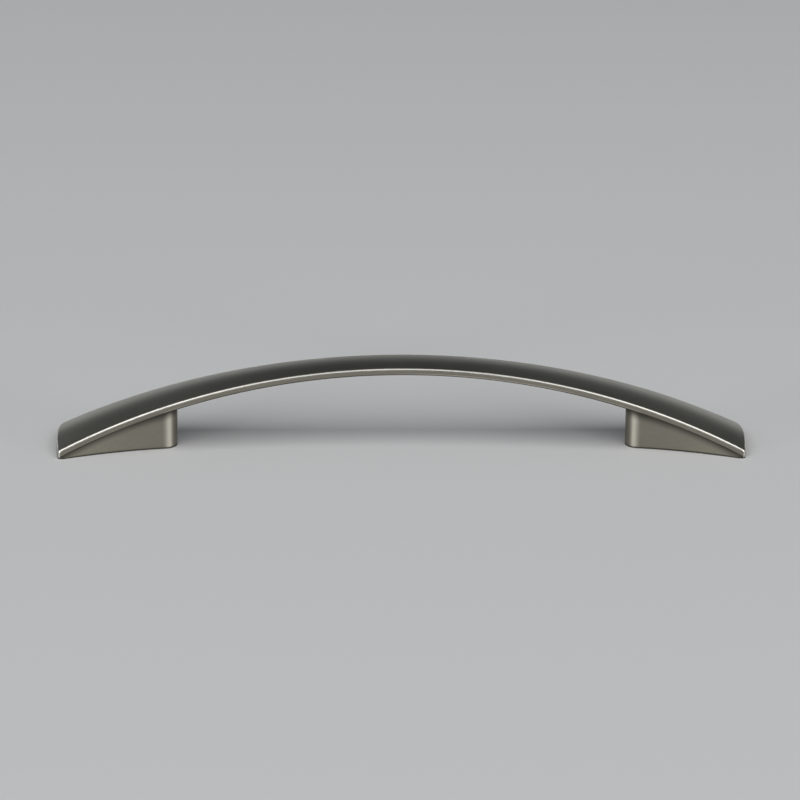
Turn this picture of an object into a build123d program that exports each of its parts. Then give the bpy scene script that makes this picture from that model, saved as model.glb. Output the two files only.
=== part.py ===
"""Bow handle for cabinet doors and drawers: one zinc die casting with two tapped feet.

Millimetres. X runs along the handle, Z away from the mounting face at Z = 0,
and the origin is midway between the two fixing holes.
"""

import os
from math import asin, cos, degrees, radians, sin, sqrt, tan

from build123d import *

# Band: the arched strip that the hand takes hold of
overall_length = 220.2
projection = 28.7  # top of the bow above the mounting face, at the middle
end_height = 4.45  # top of the bow above the mounting face, at each end
waist_width = 13.7
end_width = 26.2  # across the corners, before they are rounded
end_radius = 67.0  # plan radius of the ends, which bulge outwards
crown_radius = 38.0  # radius of the top across the band
band_thickness = 2.4
corner_rounding = 1.1  # plan radius of the four corners
edge_rounding = 0.8  # top edge, all the way round
underside_rounding = 0.7  # bottom edge of each side

# Feet: wedges that flare from a round nose to the full width of the ends
hole_spacing = 160.0
nose_width = 8.0
nose_reach = 8.2  # from the hole's centre to the tip of the nose
flank_angle = 8.5  # splay of each flank where it leaves the nose
flank_run_out = 3.3  # from the handle's end to where each flank meets the side of the band
draft_angle = 1.0

# Tapped holes for M4 machine screws, at the thread's outer diameter
thread_diameter = 4.0
mouth_diameter = 4.8
metal_over_hole = 3.6
drill_point_angle = 118.0

half_length = overall_length / 2
bow_rise = projection - end_height
bow_radius = (bow_rise**2 + half_length**2) / (2 * bow_rise)
bow_axis = Axis((0, 0, projection - bow_radius), (0, 1, 0))

# The band's section is drawn on a plane through the bow's axis, swung out past one end
swing = asin(half_length / (bow_radius - projection))
section_plane = Plane(
    origin=bow_axis.position,
    x_dir=(0, 1, 0),
    z_dir=(cos(swing), 0, sin(swing)),
)
bow_arc = 2 * degrees(swing)
crown_centre = bow_radius - crown_radius

# Outline seen from above: sides that draw in to the waist, and ends that bulge
end_bulge = end_radius - sqrt(end_radius**2 - (end_width / 2) ** 2)
corner_x = half_length - end_bulge
side_sag = (end_width - waist_width) / 2
side_radius = (side_sag**2 + corner_x**2) / (2 * side_sag)
side_centre_y = waist_width / 2 + side_radius
with BuildSketch() as sides:
    Rectangle(2 * overall_length, 2 * end_width)
    with Locations((0, side_centre_y), (0, -side_centre_y)):
        Circle(side_radius, mode=Mode.SUBTRACT)
with BuildSketch() as outline:
    add(sides.sketch)
    SlotOverall(overall_length, 2 * end_radius, mode=Mode.INTERSECT)
    fillet(outline.vertices(), corner_rounding)

# Feet: one wedge, carried up to the middle of the band's thickness and mirrored to the other end
hole_x = hole_spacing / 2
nose_radius = nose_width / 2
nose_tip = (hole_x - nose_reach, 0)
splay = radians(flank_angle)
flank_start = (nose_tip[0] + nose_radius * (1 - sin(splay)), nose_radius * cos(splay))
meet_x = half_length - flank_run_out
flank_end = (meet_x, side_centre_y - sqrt(side_radius**2 - meet_x**2))
with BuildPart() as feet:
    with BuildSketch():
        with BuildLine():
            ThreePointArc((flank_start[0], -flank_start[1]), nose_tip, flank_start)
            flank = TangentArc(flank_start, flank_end, tangent=(cos(splay), sin(splay)))
            mirror(flank, about=Plane.XZ)
            overrun = PolarLine(flank_end, end_width, direction=flank % 1)
            mirror(overrun, about=Plane.XZ)
            back = overrun @ 1
            Line(back, (back.X, -back.Y))
        make_face()
    extrude(amount=projection, taper=-draft_angle)
    mirror(about=Plane.YZ)
    with BuildSketch(section_plane):
        with Locations((0, crown_centre)):
            Circle(crown_radius - band_thickness / 2)
    revolve(axis=bow_axis, revolution_arc=bow_arc, mode=Mode.INTERSECT)

# Casting: the crowned strip turned about the bow's axis and rounded underneath, then joined to
# the feet, trimmed to the outline, rounded along its top edge and drilled for the screws
crown_over_hole = projection - bow_radius + sqrt(bow_radius**2 - hole_x**2)
thread_radius = thread_diameter / 2
drill_point = thread_radius / tan(radians(drill_point_angle / 2))
hole_depth = crown_over_hole - metal_over_hole - drill_point
with BuildPart() as bow_handle:
    with BuildSketch(section_plane):
        with Locations((0, crown_centre)):
            Circle(crown_radius)
            Circle(crown_radius - band_thickness, mode=Mode.SUBTRACT)
        with Locations((0, bow_radius)):
            Rectangle(2 * end_width, crown_radius, mode=Mode.INTERSECT)
    revolve(axis=bow_axis, revolution_arc=bow_arc)
    extrude(sides.sketch, amount=2 * projection, both=True, mode=Mode.INTERSECT)
    underside = bow_handle.faces().filter_by(GeomType.TORUS).sort_by(Axis.Z)[0]
    fillet(underside.edges().sort_by(SortBy.LENGTH)[-2:], underside_rounding)

    add(feet.part)
    extrude(outline.sketch, amount=2 * projection, mode=Mode.INTERSECT)
    crown = bow_handle.faces().filter_by(GeomType.TORUS).sort_by(Axis.Z)[-1]
    fillet(crown.edges(), edge_rounding)

    for x in (-hole_x, hole_x):
        with Locations(Location((x, 0, 0), (180, 0, 0))):
            CounterSinkHole(thread_radius, mouth_diameter / 2, hole_depth, counter_sink_angle=90)
        with Locations((x, 0, hole_depth + drill_point / 2)):
            Cone(thread_radius, 0, drill_point, mode=Mode.SUBTRACT)

bow_handle.part.label = "bow_handle"
os.makedirs("parts", exist_ok=True)
export_step(bow_handle.part, "parts/bow_handle.step")
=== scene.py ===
from math import pi, radians

import bpy
from mathutils import Matrix, Vector


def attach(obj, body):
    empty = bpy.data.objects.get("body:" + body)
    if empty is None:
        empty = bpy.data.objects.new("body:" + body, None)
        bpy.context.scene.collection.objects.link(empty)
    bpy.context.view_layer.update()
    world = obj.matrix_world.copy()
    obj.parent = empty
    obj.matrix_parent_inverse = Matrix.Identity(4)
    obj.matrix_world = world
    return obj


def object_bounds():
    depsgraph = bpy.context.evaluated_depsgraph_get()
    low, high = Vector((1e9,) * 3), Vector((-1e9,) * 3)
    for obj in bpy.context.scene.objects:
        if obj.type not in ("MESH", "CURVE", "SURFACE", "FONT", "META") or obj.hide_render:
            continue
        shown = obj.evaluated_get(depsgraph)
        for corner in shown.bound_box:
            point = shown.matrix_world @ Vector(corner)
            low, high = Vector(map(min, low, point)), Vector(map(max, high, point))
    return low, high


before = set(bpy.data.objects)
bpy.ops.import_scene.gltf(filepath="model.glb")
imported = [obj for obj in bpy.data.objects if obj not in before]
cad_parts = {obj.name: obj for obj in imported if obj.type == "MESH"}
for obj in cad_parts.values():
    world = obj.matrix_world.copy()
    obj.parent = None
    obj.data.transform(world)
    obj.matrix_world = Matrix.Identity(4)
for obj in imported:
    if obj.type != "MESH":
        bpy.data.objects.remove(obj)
cad_box = [list(corner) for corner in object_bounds()]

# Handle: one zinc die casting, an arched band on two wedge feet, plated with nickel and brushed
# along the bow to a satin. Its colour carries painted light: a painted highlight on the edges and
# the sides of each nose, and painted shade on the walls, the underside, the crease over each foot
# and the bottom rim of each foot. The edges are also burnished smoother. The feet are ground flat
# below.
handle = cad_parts["bow_handle"]
half_length = cad_box[1][0]
bow_top = 0.0287
end_height = 0.00445
band_thickness = 0.0024
crown_radius = 0.038
bow_rise = bow_top - end_height
bow_radius = (bow_rise**2 + half_length**2) / (2 * bow_rise)
bow_axis_drop = bow_radius - bow_top

bright_nickel = (0.47, 0.448, 0.380, 1)
shaded_nickel = (0.42, 0.400, 0.338, 1)
# Painted highlight colour for the sides of each nose and a stretch of the lower edge
highlight_nickel = (0.70, 0.668, 0.570, 1)
# The edge's painted highlight is brightest over the feet and dimmer at the middle of the bow
edge_over_feet = (0.72, 0.704, 0.645, 1)
edge_at_middle = (0.43, 0.421, 0.390, 1)
# Painted shade colour for the plain walls, the nose tips and the underside
painted_shade_nickel = (0.172, 0.162, 0.129, 1)
# Painted shadow colour for the crease over each foot and the bottom of the feet's walls
painted_shadow_nickel = (0.070, 0.066, 0.055, 1)

satin_nickel = bpy.data.materials.new("satin_nickel")
satin_nickel.use_nodes = True
nodes = satin_nickel.node_tree.nodes
links = satin_nickel.node_tree.links
shader = nodes["Principled BSDF"]
shader.inputs["Metallic"].default_value = 1

# A mix node's colour sockets share their names with its others, so they are taken by number
first_colour, second_colour, mixed_colour = 6, 7, 2


def work_out(operation, first, second=0):
    step = nodes.new("ShaderNodeMath")
    step.operation = operation
    for socket, value in zip(step.inputs, (first, second)):
        if isinstance(value, bpy.types.NodeSocket):
            links.new(value, socket)
        else:
            socket.default_value = value
    return step.outputs["Value"]


def times(first, second):
    return work_out("MULTIPLY", first, second)


def less(first, second):
    return work_out("SUBTRACT", first, second)


def add_up(total, *others):
    for amount in others:
        total = work_out("ADD", total, amount)
    return total


def strongest(share, *others):
    for other in others:
        share = work_out("MAXIMUM", share, other)
    return share


# A share eases from 0 to 1 between two limits, as a value rises above them or falls below them
def ease(value, start, end):
    blend = nodes.new("ShaderNodeMapRange")
    blend.interpolation_type = "SMOOTHSTEP"
    blend.inputs["From Min"].default_value = start
    blend.inputs["From Max"].default_value = end
    links.new(value, blend.inputs["Value"])
    return blend.outputs["Result"]


def above(value, limits):
    low, high = limits
    return ease(value, low, high)


def below(value, limits):
    low, high = limits
    return ease(value, high, low)


def tint(share, plain, changed):
    mix = nodes.new("ShaderNodeMix")
    mix.data_type = "RGBA"
    links.new(share, mix.inputs["Factor"])
    for number, colour in ((first_colour, plain), (second_colour, changed)):
        if isinstance(colour, bpy.types.NodeSocket):
            links.new(colour, mix.inputs[number])
        else:
            mix.inputs[number].default_value = colour
    return mix.outputs[mixed_colour]


# Grain is laid out on the bow itself: distance along it, across it, and out from its axis
surface = nodes.new("ShaderNodeTexCoord")
place = nodes.new("ShaderNodeSeparateXYZ")
links.new(surface.outputs["Object"], place.inputs["Vector"])
along_handle = place.outputs["X"]
across_handle = place.outputs["Y"]
height = place.outputs["Z"]
above_axis = add_up(height, bow_axis_drop)
along_bow = times(work_out("ARCTAN2", along_handle, above_axis), bow_radius)
squares = add_up(work_out("POWER", along_handle, 2), work_out("POWER", above_axis, 2))
out_from_axis = work_out("SQRT", squares)
bow_place = nodes.new("ShaderNodeCombineXYZ")
links.new(along_bow, bow_place.inputs["X"])
links.new(across_handle, bow_place.inputs["Y"])
links.new(out_from_axis, bow_place.inputs["Z"])


def add_grain(vector, scale, detail):
    stretch = nodes.new("ShaderNodeMapping")
    stretch.inputs["Scale"].default_value = scale
    links.new(vector, stretch.inputs["Vector"])
    noise = nodes.new("ShaderNodeTexNoise")
    noise.inputs["Scale"].default_value = 1
    noise.inputs["Detail"].default_value = detail
    links.new(stretch.outputs["Vector"], noise.inputs["Vector"])
    return noise.outputs["Fac"]


# Scales are in waves to the metre: the fewer there are one way, the longer the marks run that way
brush_lines = add_grain(bow_place.outputs["Vector"], scale=(60, 5200, 5200), detail=2)
long_streaks = add_grain(bow_place.outputs["Vector"], scale=(25, 1300, 1300), detail=2)
handling_marks = add_grain(bow_place.outputs["Vector"], scale=(55, 90, 90), detail=3)
belt_lines = add_grain(surface.outputs["Object"], scale=(4200, 70, 70), detail=2)

# Faces are told apart by how far they face up, and by how far they face away from the handle's
# middle, which is their facing along the handle times their place along it in metres
wall_into_slope = (0.20, 0.45)
underside_into_wall = (-0.70, -0.10)
flat_into_slope = (-0.9999, -0.995)
facing = nodes.new("ShaderNodeSeparateXYZ")
links.new(surface.outputs["Normal"], facing.inputs["Vector"])
faces_up = facing.outputs["Z"]
faces_out = times(facing.outputs["X"], along_handle)
from_middle = work_out("ABSOLUTE", along_handle)
upright_wall = below(work_out("ABSOLUTE", faces_up), wall_into_slope)
faces_down = below(faces_up, underside_into_wall)
ground_face = below(faces_up, flat_into_slope)

# Bright edges, partly burnished smoother and partly a painted highlight: the rounded edge all round
# the top, and the upright corners of the ends
wall_into_edge = (0.10, 0.34)
edge_into_crown = (0.70, 0.86)
side_into_corner = (0.020, 0.042)
corner_into_end = (0.080, 0.102)
top_edge = times(above(faces_up, wall_into_edge), below(faces_up, edge_into_crown))
end_corner = times(above(faces_out, side_into_corner), below(faces_out, corner_into_end))
bright_edge = strongest(top_edge, times(end_corner, upright_wall))

# Painted highlights: the sides of each foot's round nose, and a stretch of the band's lower edge
nose_into_flank = (-0.0105, -0.0062)
tip_into_side = (-0.057, -0.033)
nose_back = (0.0740, 0.0765)
underside_into_lower_edge = (-0.85, -0.60)
lower_edge_into_wall = (-0.20, -0.04)
stretch_start = (-0.015, 0.015)
stretch_end = (0.046, 0.064)
foot_wall = times(below(faces_out, nose_into_flank), above(faces_up, underside_into_wall))
nose = times(foot_wall, below(from_middle, nose_back))
nose_tip = times(nose, below(faces_out, tip_into_side))
nose_sides = less(nose, nose_tip)
lower_edge = times(above(faces_up, underside_into_lower_edge), below(faces_up, lower_edge_into_wall))
highlight_stretch = times(above(along_handle, stretch_start), below(along_handle, stretch_end))
lower_edge_highlight = times(lower_edge, highlight_stretch)
painted_highlights = strongest(nose_sides, lower_edge_highlight)
highlit_and_burnished = strongest(bright_edge, painted_highlights)

# Painted shade: a painted shadow in the crease under the band along each foot, which thins out
# towards the ends and doesn't turn round them, and a painted contact shadow along the bottom of each
# foot's walls
band_into_crease = (-0.0008, -0.0003)
crease_into_flank = (0.0015, 0.0048)
crease_middle = 0.085
crease_taper = 0.1
side_into_end = (0.01, 0.05)
rim_into_flank = (0.0002, 0.0008)
crown_drop = times(work_out("POWER", across_handle, 2), 1 / (2 * crown_radius))
under_band = less(less(bow_radius - band_thickness, crown_drop), out_from_axis)
tapered = add_up(under_band, times(less(from_middle, crease_middle), crease_taper))
along_sides = times(above(under_band, band_into_crease), below(faces_out, side_into_end))
crease = times(along_sides, below(tapered, crease_into_flank))
foot_contact_shadow = times(below(height, rim_into_flank), upright_wall)
shadowed_places = strongest(crease, foot_contact_shadow)

# Painted shade, and rougher metal: the plain walls, the tip of each nose and the underside, but not
# the ground faces
wall_shade = 0.62
tip_shade = 0.70
underside_shade = 0.6
plain_walls = less(upright_wall, times(upright_wall, highlit_and_burnished))
plain_underside = less(faces_down, add_up(ground_face, lower_edge_highlight))
dull_and_shaded_places = strongest(
    times(plain_walls, wall_shade),
    times(nose_tip, tip_shade),
    times(plain_underside, underside_shade),
)

# Colour goes on from the plain metal through the painted highlights to the painted shade, and the
# edge's painted highlight brightens over the feet
streak_share = 0.6
streak_contrast = (0.30, 0.70)
edge_brightens = (0.020, 0.095)
streaks = add_up(times(long_streaks, streak_share), times(handling_marks, 1 - streak_share))
plain_colour = tint(above(streaks, streak_contrast), shaded_nickel, bright_nickel)
highlighted_colour = tint(painted_highlights, plain_colour, highlight_nickel)
edge_colour = tint(above(from_middle, edge_brightens), edge_at_middle, edge_over_feet)
brushed_colour = tint(bright_edge, highlighted_colour, edge_colour)
shaded_colour = tint(dull_and_shaded_places, brushed_colour, painted_shade_nickel)
links.new(tint(shadowed_places, shaded_colour, painted_shadow_nickel), shader.inputs["Base Color"])

# Grain, handling and dullness roughen the satin, and burnishing smooths it
satin_roughness = 0.26
grain_roughness = 0.12
mark_roughness = 0.08
burnished_smoothness = 0.06
dull_roughness = 0.12
roughness = add_up(
    satin_roughness,
    times(brush_lines, grain_roughness),
    times(handling_marks, mark_roughness),
    times(highlit_and_burnished, -burnished_smoothness),
    times(strongest(dull_and_shaded_places, shadowed_places), dull_roughness),
)
links.new(roughness, shader.inputs["Roughness"])

# Brushed lines stand in low relief, and deeper ones from the belt cross the ground faces
belt_line_depth = 3
ground_lines = times(times(belt_lines, ground_face), belt_line_depth)
relief = nodes.new("ShaderNodeBump")
relief.inputs["Strength"].default_value = 0.35
relief.inputs["Distance"].default_value = 0.00001
links.new(add_up(brush_lines, long_streaks, ground_lines), relief.inputs["Height"])
links.new(relief.outputs["Normal"], shader.inputs["Normal"])
handle.data.materials.clear()
handle.data.materials.append(satin_nickel)

# Threads: an M4 coarse thread cut into each foot by a tap, up from its chamfered mouth.
# Each is one ridge wound up the drilled wall, so it is part of the casting's own metal.
hole_x = 0.080
wall_radius = 0.00206
crest_radius = 0.00164
pitch = 0.0007
thread_start = 0.0008
turns = 13
steps_a_turn = 32
ridge_width = 0.82 * pitch
crest_share = 0.2
merge_distance = 0.000001
ridge_height = wall_radius - crest_radius
middle_radius = (wall_radius + crest_radius) / 2

# The ridge's section is drawn upright beside the screw's axis, narrowed at its crest
bpy.ops.object.select_all(action="DESELECT")
bpy.ops.mesh.primitive_plane_add(size=ridge_height, rotation=(pi / 2, 0, 0))
right_thread = bpy.context.object
right_thread.name = "right_thread"
bpy.ops.object.transform_apply(location=False, rotation=True, scale=False)
bpy.ops.object.mode_set(mode="EDIT")
bpy.ops.mesh.delete(type="ONLY_FACE")
bpy.ops.mesh.select_all(action="SELECT")
bpy.ops.transform.resize(value=(1, 1, ridge_width / ridge_height))
bpy.ops.transform.translate(value=(middle_radius, 0, thread_start))
bpy.ops.mesh.select_all(action="DESELECT")
bpy.ops.object.mode_set(mode="OBJECT")
for corner in right_thread.data.vertices:
    corner.select = corner.co.x < middle_radius
bpy.ops.object.mode_set(mode="EDIT")
bpy.ops.transform.resize(value=(1, 1, crest_share), center_override=(crest_radius, 0, thread_start))
bpy.ops.object.mode_set(mode="OBJECT")

# It is wound up the hole, closed at both ends and copied to the other foot
winding = right_thread.modifiers.new("winding", "SCREW")
winding.axis = "Z"
winding.screw_offset = pitch
winding.iterations = turns
winding.steps = steps_a_turn
winding.render_steps = steps_a_turn
bpy.ops.object.modifier_apply(modifier="winding")
bpy.ops.object.mode_set(mode="EDIT")
bpy.ops.mesh.select_all(action="SELECT")
bpy.ops.mesh.remove_doubles(threshold=merge_distance)
bpy.ops.mesh.fill_holes(sides=4)
bpy.ops.mesh.select_all(action="SELECT")
bpy.ops.mesh.normals_make_consistent(inside=False)
bpy.ops.object.mode_set(mode="OBJECT")
bpy.ops.object.shade_smooth_by_angle(angle=radians(25))
right_thread.data.materials.append(satin_nickel)
bpy.ops.object.duplicate(linked=False)
left_thread = bpy.context.object
left_thread.name = "left_thread"
for piece, middle in ((right_thread, hole_x), (left_thread, -hole_x)):
    bpy.ops.object.select_all(action="DESELECT")
    piece.select_set(True)
    bpy.context.view_layer.objects.active = piece
    bpy.ops.transform.translate(value=(middle, 0, 0))
    bpy.ops.object.transform_apply(location=True, rotation=True, scale=True)
    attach(piece, "root")

# Floor: a plain pale sheet that the handle lies on, matt and of one colour.
# It runs out of sight on every side and is no part of the handle.
sheet_width = 12
sheet_colour = (0.78, 0.78, 0.78, 1)
bpy.ops.object.select_all(action="DESELECT")
bpy.ops.mesh.primitive_plane_add(size=sheet_width)
floor = bpy.context.object
floor.name = "floor"
pale_sheet = bpy.data.materials.new("pale_sheet")
pale_sheet.use_nodes = True
sheet = pale_sheet.node_tree.nodes["Principled BSDF"]
sheet.inputs["Base Color"].default_value = sheet_colour
sheet.inputs["Roughness"].default_value = 0.8
floor.data.materials.append(pale_sheet)

# Light: a wide bank of soft light above the front, a low soft box off each end, and a dim
# room with a pale glow along the foot of its far wall.
left_wall_colour = (0.110, 0.116, 0.125, 1)
middle_colour = (0.034, 0.039, 0.045, 1)
right_wall_colour = (0.070, 0.075, 0.082, 1)
glow_colour = (0.80, 0.82, 0.85, 1)
left_wall_end = 0.22
middle_place = 0.45
right_wall_start = 0.85
glow_foot = 0.02
glow_top = 0.30
glow_spread = 0.4
bank_place = (0, -2.85, 3.6)
bank_size = (9.75, 4.8)
bank_power = 240
box_out = 2.81
box_forward = -2.62
box_height = 0.32
box_size = (1.1, 0.6)
box_power = 38

world = bpy.data.worlds.new("studio")
bpy.context.scene.world = world
world.use_nodes = True
room = world.node_tree
direction = room.nodes.new("ShaderNodeTexCoord")
bearing = room.nodes.new("ShaderNodeSeparateXYZ")
room.links.new(direction.outputs["Generated"], bearing.inputs["Vector"])


def spread(value, start, end):
    share = room.nodes.new("ShaderNodeMapRange")
    share.inputs["From Min"].default_value = start
    share.inputs["From Max"].default_value = end
    room.links.new(value, share.inputs["Value"])
    return share.outputs["Result"]


upper_walls = room.nodes.new("ShaderNodeValToRGB")
room.links.new(spread(bearing.outputs["X"], -1, 1), upper_walls.inputs["Fac"])
left_wall, middle_of_room = upper_walls.color_ramp.elements
left_wall.position = left_wall_end
left_wall.color = left_wall_colour
middle_of_room.position = middle_place
middle_of_room.color = middle_colour
right_wall = upper_walls.color_ramp.elements.new(right_wall_start)
right_wall.color = right_wall_colour
glow = room.nodes.new("ShaderNodeMath")
glow.operation = "MULTIPLY"
room.links.new(spread(bearing.outputs["Z"], glow_top, glow_foot), glow.inputs[0])
room.links.new(spread(bearing.outputs["Y"], -glow_spread, glow_spread), glow.inputs[1])
walls = room.nodes.new("ShaderNodeMix")
walls.data_type = "RGBA"
walls.inputs[second_colour].default_value = glow_colour
room.links.new(glow.outputs["Value"], walls.inputs["Factor"])
room.links.new(upper_walls.outputs["Color"], walls.inputs[first_colour])
room.links.new(walls.outputs[mixed_colour], room.nodes["Background"].inputs["Color"])


def add_soft_light(name, spot, size, power):
    lamp = bpy.data.objects.new(name, bpy.data.lights.new(name, "AREA"))
    bpy.context.scene.collection.objects.link(lamp)
    lamp.data.shape = "RECTANGLE"
    lamp.data.size, lamp.data.size_y = size
    lamp.data.energy = power
    lamp.location = spot
    lamp.rotation_euler = (-Vector(spot)).to_track_quat("-Z", "Y").to_euler()


add_soft_light("overhead_bank", bank_place, bank_size, bank_power)
add_soft_light("left_soft_box", (-box_out, box_forward, box_height), box_size, box_power)
add_soft_light("right_soft_box", (box_out, box_forward, box_height), box_size, box_power)

# Camera: a long lens in front of the handle and a little above it, turned a touch to one
# side and tipped by less than a degree.
lens = 126.97
turn_aside = radians(-1.89)
look_down = radians(20.60)
tip_over = radians(0.64)
aim_height = 0.015
aim_aside = -0.0007
aim_up = 0.00003
stand_off = 0.9
camera = bpy.data.objects.new("camera", bpy.data.cameras.new("camera"))
bpy.context.scene.collection.objects.link(camera)
camera.data.lens = lens
camera.matrix_world = (
    Matrix.Translation((0, 0, aim_height))
    @ Matrix.Rotation(turn_aside, 4, "Z")
    @ Matrix.Rotation(pi / 2 - look_down, 4, "X")
    @ Matrix.Rotation(tip_over, 4, "Z")
    @ Matrix.Translation((aim_aside, aim_up, stand_off))
)
bpy.context.scene.camera = camera
bpy.context.scene.view_settings.view_transform = "Standard"
